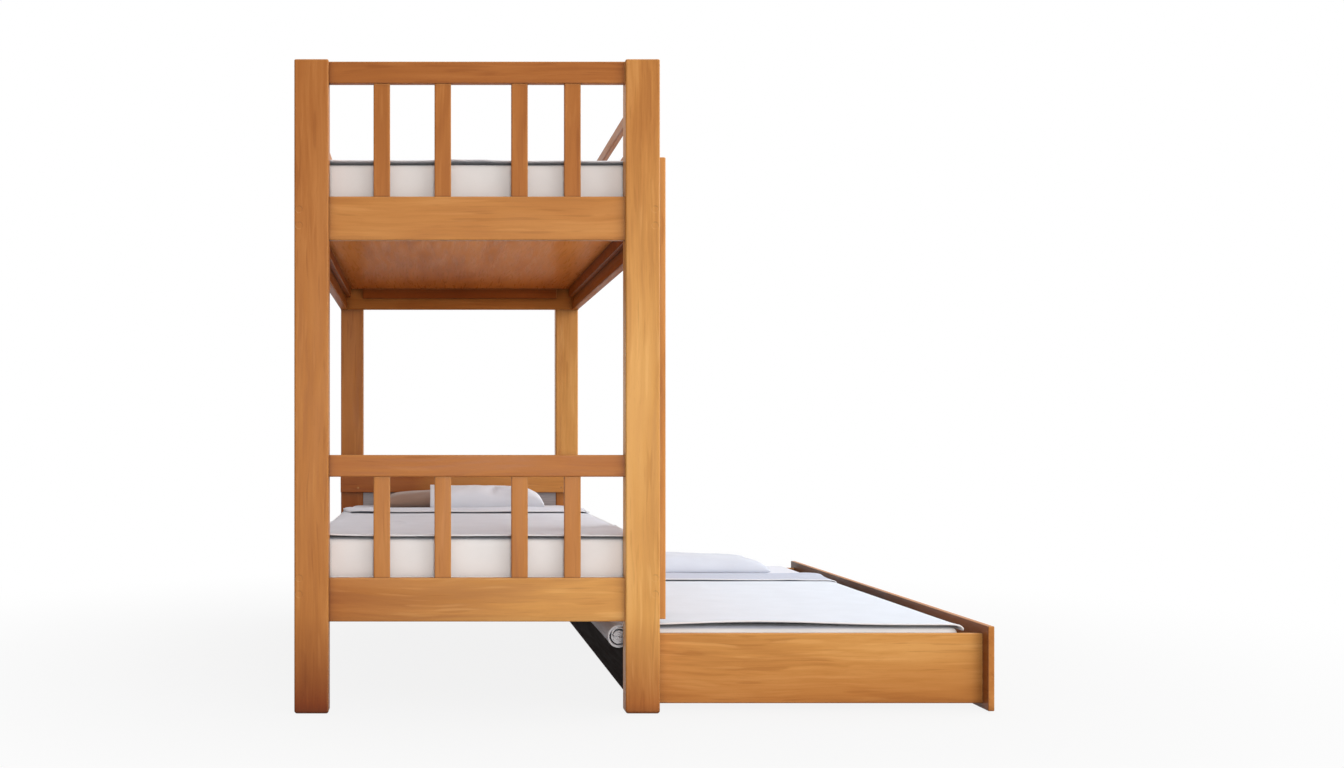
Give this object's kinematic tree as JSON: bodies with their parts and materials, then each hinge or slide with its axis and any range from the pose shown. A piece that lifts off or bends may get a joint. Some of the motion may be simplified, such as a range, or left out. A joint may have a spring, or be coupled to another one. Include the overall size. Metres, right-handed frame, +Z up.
{
  "type": "bunk bed with trundle",
  "caption": "Wooden bunk bed with slatted ends, guard rails and a ladder, and a trundle bed on casters drawn out from under the lower bunk, all made up with bedding.",
  "frame": {"origin": "on the floor, below the middle of the box round the bed with its trundle drawn out", "axes": "+X from the bed to the drawn-out trundle, +Y from the foot end to the head end, +Z up"},
  "size_m": [1.924, 2.06, 1.79],
  "materials": {
    "oiled_wood": "satin",
    "deck_panel": "gloss",
    "grey_panel": "matte",
    "inner_timber": "matte",
    "dark_board": "matte",
    "zinc_steel": "satin",
    "wheel_plastic": "matte",
    "mattress_cover": "matte",
    "blanket_cloth": "matte",
    "trundle_cloth": "matte",
    "pillow_cloth": "matte",
    "taupe_cloth": "matte"
  },
  "bodies": {
    "bunk": {"post_foot_left": "oiled_wood", "post_foot_right": "oiled_wood", "post_head_left": "oiled_wood", "post_head_right": "oiled_wood", "upper_foot_top_rail": "oiled_wood", "upper_foot_rail": "oiled_wood", "lower_foot_top_rail": "oiled_wood", "lower_foot_rail": "oiled_wood", "upper_foot_slats": "oiled_wood", "lower_foot_slats": "oiled_wood", "upper_head_slats": "oiled_wood", "upper_head_top_rail": "oiled_wood", "upper_head_rail": "oiled_wood", "lower_headboard": "oiled_wood", "lower_head_panel": "grey_panel", "lower_head_rail": "oiled_wood", "upper_side_rail_left": "oiled_wood", "upper_side_rail_right": "oiled_wood", "lower_side_rail_left": "oiled_wood", "lower_side_rail_right": "oiled_wood", "upper_deck_cleats": "inner_timber", "lower_deck_cleats": "inner_timber", "upper_deck": "deck_panel", "lower_deck": "deck_panel", "right_guard_bars": "oiled_wood", "left_guard_bars": "oiled_wood", "guard_stiles": "oiled_wood", "ladder_stile_foot": "oiled_wood", "ladder_stile_head": "oiled_wood", "ladder_rungs": "oiled_wood", "ladder_bolts": "zinc_steel", "rail_bolts": "zinc_steel", "barrel_nuts": "zinc_steel", "bolt_plugs": "oiled_wood", "wood_screws": "zinc_steel", "upper_mattress": "mattress_cover", "lower_mattress": "mattress_cover", "upper_blanket": "blanket_cloth", "lower_blanket": "blanket_cloth", "lower_front_pillow": "pillow_cloth", "lower_back_pillow": "taupe_cloth", "upper_pillow": "pillow_cloth"},
    "trundle": {"trundle_front_panel": "oiled_wood", "trundle_foot_panel": "oiled_wood", "trundle_head_panel": "oiled_wood", "trundle_back_panel": "dark_board", "trundle_deck": "deck_panel", "trundle_bearers": "inner_timber", "trundle_corner_blocks": "inner_timber", "caster_forks": "zinc_steel", "caster_axles": "zinc_steel", "caster_screws": "zinc_steel", "trundle_mattress": "mattress_cover", "trundle_blanket": "trundle_cloth", "trundle_pillow": "pillow_cloth"},
    "wheel_1": {"trundle_wheel_1": "wheel_plastic"},
    "wheel_2": {"trundle_wheel_2": "wheel_plastic"},
    "wheel_3": {"trundle_wheel_3": "wheel_plastic"},
    "wheel_4": {"trundle_wheel_4": "wheel_plastic"}
  },
  "joints": [
    {"name": "trundle_slide", "type": "slide", "parent": "bunk", "child": "trundle", "axis": [1, 0, 0], "range_m": [-0.905, 0.095]},
    {"name": "wheel_1_spin", "type": "hinge", "parent": "trundle", "child": "wheel_1", "pos_m": [0.084, -0.8, 0.025], "axis": [0, 1, 0], "continuous": true},
    {"name": "wheel_2_spin", "type": "hinge", "parent": "trundle", "child": "wheel_2", "pos_m": [0.084, 0.8, 0.025], "axis": [0, 1, 0], "continuous": true},
    {"name": "wheel_3_spin", "type": "hinge", "parent": "trundle", "child": "wheel_3", "pos_m": [0.834, -0.8, 0.025], "axis": [0, 1, 0], "continuous": true},
    {"name": "wheel_4_spin", "type": "hinge", "parent": "trundle", "child": "wheel_4", "pos_m": [0.834, 0.8, 0.025], "axis": [0, 1, 0], "continuous": true}
  ],
  "couplings": [
    {"joint": "wheel_1_spin", "follows": "trundle_slide", "rad_per_m": 40},
    {"joint": "wheel_2_spin", "follows": "trundle_slide", "rad_per_m": 40},
    {"joint": "wheel_3_spin", "follows": "trundle_slide", "rad_per_m": 40},
    {"joint": "wheel_4_spin", "follows": "trundle_slide", "rad_per_m": 40}
  ]
}
